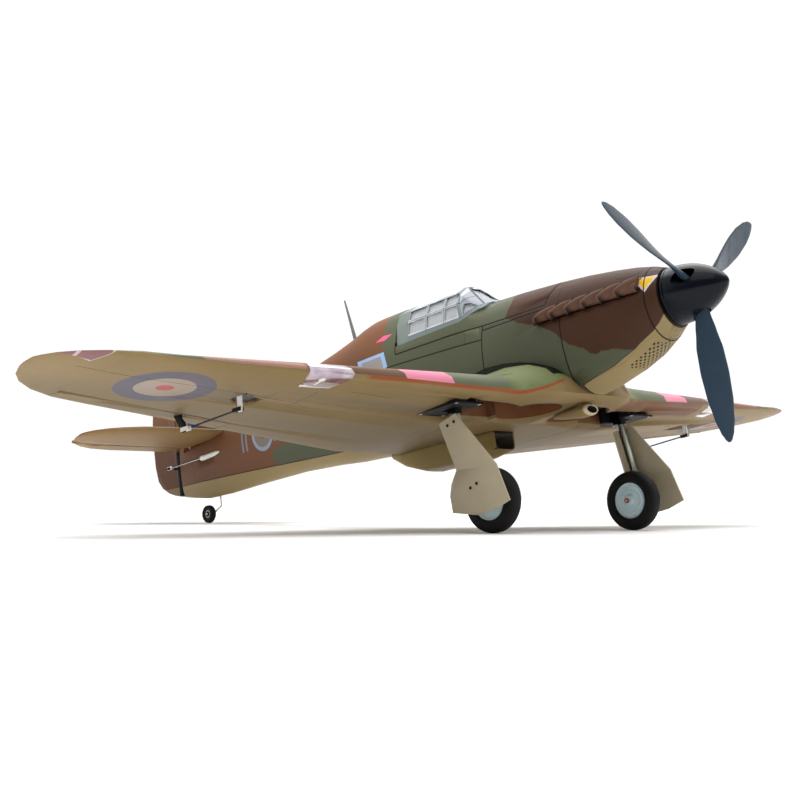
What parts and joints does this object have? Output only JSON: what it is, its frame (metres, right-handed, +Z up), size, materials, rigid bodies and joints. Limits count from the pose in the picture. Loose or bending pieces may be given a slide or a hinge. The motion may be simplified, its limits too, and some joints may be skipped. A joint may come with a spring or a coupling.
{
  "type": "rc warbird plane",
  "caption": "Foam radio-controlled warbird on its wheels, with a three-blade propeller, folding main legs, hinged control surfaces and a lift-off canopy hatch.",
  "frame": {"origin": "centre of the bounding box in plan, at ground level under the wheels", "axes": "+X forward to the propeller, +Y to port (left wing), +Z up; the aeroplane stands nose-up on its three wheels"},
  "size_m": [0.9756, 1.216, 0.3417],
  "materials": {
    "foam_camouflage": "matt painted foam, green and brown",
    "foam_brown": "matt painted foam, brown",
    "foam_sand": "matt painted foam, sand",
    "spinner_gloss": "dark blue-grey, smooth",
    "canopy_frame": "grey-green",
    "canopy_glass": "thin clear glazing",
    "cockpit_dark": "matt dark grey-green",
    "lamp_cover": "clear cover",
    "black_plastic": "black moulding",
    "white_plastic": "white moulding",
    "bare_metal": "bare, brushed",
    "wire_steel": "bright wire",
    "carbon_tube": "black woven tube",
    "battery_blue": "blue shrink wrap",
    "mast_grey": "pale grey",
    "tyre_rubber": "black foam rubber",
    "hub_grey": "blue-grey moulding"
  },
  "bodies": {
    "airframe": {"fuselage": "foam_camouflage", "nose_ring": "foam_brown", "lower_cowl": "foam_sand", "exhaust_left": "foam_brown", "exhaust_right": "foam_brown", "wing_left": "foam_camouflage", "wing_right": "foam_camouflage", "landing_light_cover_left": "lamp_cover", "landing_light_cover_right": "lamp_cover", "wing_joiner_tube": "carbon_tube", "tailplane": "foam_camouflage", "fin": "foam_brown", "radiator_scoop": "foam_sand", "carburettor_intake": "foam_sand", "antenna_mast": "mast_grey", "motor_base": "bare_metal", "speed_controller": "black_plastic", "battery": "battery_blue", "receiver": "black_plastic", "aileron_servo_left": "black_plastic", "aileron_servo_right": "black_plastic", "elevator_servo": "black_plastic", "rudder_servo": "black_plastic", "retract_unit_left": "black_plastic", "retract_unit_right": "black_plastic", "rudder_exit_tube": "white_plastic", "elevator_exit_tube": "white_plastic"},
    "hatch": {"hatch_shell": "foam_camouflage", "canopy_frame": "canopy_frame", "canopy_glass": "canopy_glass", "cockpit_tub": "cockpit_dark"},
    "propeller_group": {"propeller": "spinner_gloss", "spinner": "spinner_gloss", "spinner_backplate": "spinner_gloss", "propeller_nut": "bare_metal", "motor_can": "bare_metal"},
    "aileron_left": {"aileron_left": "foam_camouflage", "aileron_horn_left": "black_plastic"},
    "aileron_right": {"aileron_right": "foam_camouflage", "aileron_horn_right": "black_plastic"},
    "aileron_arm_left": {"aileron_servo_arm_left": "white_plastic"},
    "aileron_arm_right": {"aileron_servo_arm_right": "white_plastic"},
    "aileron_rod_left": {"aileron_pushrod_left": "black_plastic"},
    "aileron_rod_right": {"aileron_pushrod_right": "black_plastic"},
    "elevator_body": {"elevator": "foam_camouflage"},
    "elevator_arm": {"elevator_servo_arm": "white_plastic"},
    "elevator_rod": {"elevator_pushrod": "wire_steel"},
    "rudder_body": {"rudder": "foam_brown"},
    "rudder_arm": {"rudder_servo_arm": "white_plastic"},
    "rudder_rod": {"rudder_pushrod": "wire_steel"},
    "gear_left": {"gear_leg_left": "bare_metal", "gear_door_left": "foam_sand"},
    "gear_right": {"gear_leg_right": "bare_metal", "gear_door_right": "foam_sand"},
    "wheel_left": {"tyre_left": "tyre_rubber", "wheel_hub_left": "hub_grey"},
    "wheel_right": {"tyre_right": "tyre_rubber", "wheel_hub_right": "hub_grey"},
    "tail_leg_body": {"tail_leg": "wire_steel"},
    "tail_wheel_body": {"tail_wheel": "tyre_rubber"}
  },
  "joints": [
    {"name": "hatch_lift", "type": "slide", "parent": "airframe", "child": "hatch", "axis": [-0.1891, 0, 0.9819], "range_m": [0, 0.08]},
    {"name": "propeller_spin", "type": "hinge", "parent": "airframe", "child": "propeller_group", "pos_m": [0.45046, 0, 0.25184], "axis": [0.9819, 0, 0.1891], "continuous": true},
    {"name": "aileron_left_hinge", "type": "hinge", "parent": "airframe", "child": "aileron_left", "pos_m": [0.09643, 0.387, 0.1231], "axis": [-0.0457, -0.9955, -0.0827], "range_deg": [-25, 25]},
    {"name": "aileron_right_hinge", "type": "hinge", "parent": "airframe", "child": "aileron_right", "pos_m": [0.09643, -0.387, 0.1231], "axis": [-0.0457, 0.9955, -0.0827], "range_deg": [-25, 25]},
    {"name": "aileron_arm_left_turn", "type": "hinge", "parent": "airframe", "child": "aileron_arm_left", "pos_m": [0.17838, 0.38176, 0.14092], "axis": [-0.0457, -0.9955, -0.0827], "range_deg": [-25, 25]},
    {"name": "aileron_arm_right_turn", "type": "hinge", "parent": "airframe", "child": "aileron_arm_right", "pos_m": [0.17838, -0.38176, 0.14092], "axis": [-0.0457, 0.9955, -0.0827], "range_deg": [-25, 25]},
    {"name": "aileron_rod_left_pin", "type": "hinge", "parent": "aileron_arm_left", "child": "aileron_rod_left", "pos_m": [0.18224, 0.38321, 0.12135], "axis": [-0.0457, -0.9955, -0.0827], "range_deg": [-25, 25]},
    {"name": "aileron_rod_right_pin", "type": "hinge", "parent": "aileron_arm_right", "child": "aileron_rod_right", "pos_m": [0.18224, -0.38321, 0.12135], "axis": [-0.0457, 0.9955, -0.0827], "range_deg": [-25, 25]},
    {"name": "elevator_hinge", "type": "hinge", "parent": "airframe", "child": "elevator_body", "pos_m": [-0.3978, 0, 0.10881], "axis": [0, 1, 0], "range_deg": [-25, 25]},
    {"name": "elevator_arm_turn", "type": "hinge", "parent": "airframe", "child": "elevator_arm", "pos_m": [0.09514, 0.018, 0.20376], "axis": [0, 1, 0], "range_deg": [-25, 25]},
    {"name": "elevator_rod_pin", "type": "hinge", "parent": "elevator_arm", "child": "elevator_rod", "pos_m": [0.09854, 0.018, 0.18609], "axis": [0, 1, 0], "range_deg": [-25, 25]},
    {"name": "rudder_hinge", "type": "hinge", "parent": "airframe", "child": "rudder_body", "pos_m": [-0.42, 0, 0.07602], "axis": [-0.1891, 0, 0.9819], "range_deg": [-30, 30]},
    {"name": "rudder_arm_turn", "type": "hinge", "parent": "airframe", "child": "rudder_arm", "pos_m": [0.09455, 0, 0.17513], "axis": [-0.1891, 0, 0.9819], "range_deg": [-30, 30]},
    {"name": "rudder_rod_pin", "type": "hinge", "parent": "rudder_arm", "child": "rudder_rod", "pos_m": [0.09455, -0.02, 0.17513], "axis": [-0.1891, 0, 0.9819], "range_deg": [-30, 30]},
    {"name": "tail_wheel_steer", "type": "hinge", "parent": "airframe", "child": "tail_leg_body", "pos_m": [-0.32677, 0, 0.03084], "axis": [-0.1891, 0, 0.9819], "range_deg": [-30, 30]},
    {"name": "gear_left_fold", "type": "hinge", "parent": "airframe", "child": "gear_left", "pos_m": [0.24428, 0.146, 0.13269], "axis": [-0.9819, 0, -0.1891], "range_deg": [0, 90]},
    {"name": "gear_right_fold", "type": "hinge", "parent": "airframe", "child": "gear_right", "pos_m": [0.24428, -0.146, 0.13269], "axis": [0.9819, 0, 0.1891], "range_deg": [0, 90]},
    {"name": "wheel_left_spin", "type": "hinge", "parent": "gear_left", "child": "wheel_left", "pos_m": [0.28013, 0.124, 0.03429], "axis": [0, 1, 0], "continuous": true},
    {"name": "wheel_right_spin", "type": "hinge", "parent": "gear_right", "child": "wheel_right", "pos_m": [0.28013, -0.124, 0.03429], "axis": [0, 1, 0], "continuous": true},
    {"name": "tail_wheel_spin", "type": "hinge", "parent": "tail_leg_body", "child": "tail_wheel_body", "pos_m": [-0.35328, 0, 0.01249], "axis": [0, 1, 0], "continuous": true}
  ],
  "couplings": [
    {"joint": "aileron_right_hinge", "follows": "aileron_left_hinge", "ratio": 1},
    {"joint": "aileron_arm_left_turn", "follows": "aileron_left_hinge", "ratio": 1},
    {"joint": "aileron_arm_right_turn", "follows": "aileron_left_hinge", "ratio": 1},
    {"joint": "aileron_rod_left_pin", "follows": "aileron_left_hinge", "ratio": -1},
    {"joint": "aileron_rod_right_pin", "follows": "aileron_left_hinge", "ratio": -1},
    {"joint": "elevator_arm_turn", "follows": "elevator_hinge", "ratio": 1},
    {"joint": "elevator_rod_pin", "follows": "elevator_hinge", "ratio": -1},
    {"joint": "rudder_arm_turn", "follows": "rudder_hinge", "ratio": 1},
    {"joint": "rudder_rod_pin", "follows": "rudder_hinge", "ratio": -1},
    {"joint": "tail_wheel_steer", "follows": "rudder_hinge", "ratio": 1},
    {"joint": "gear_right_fold", "follows": "gear_left_fold", "ratio": 1}
  ]
}
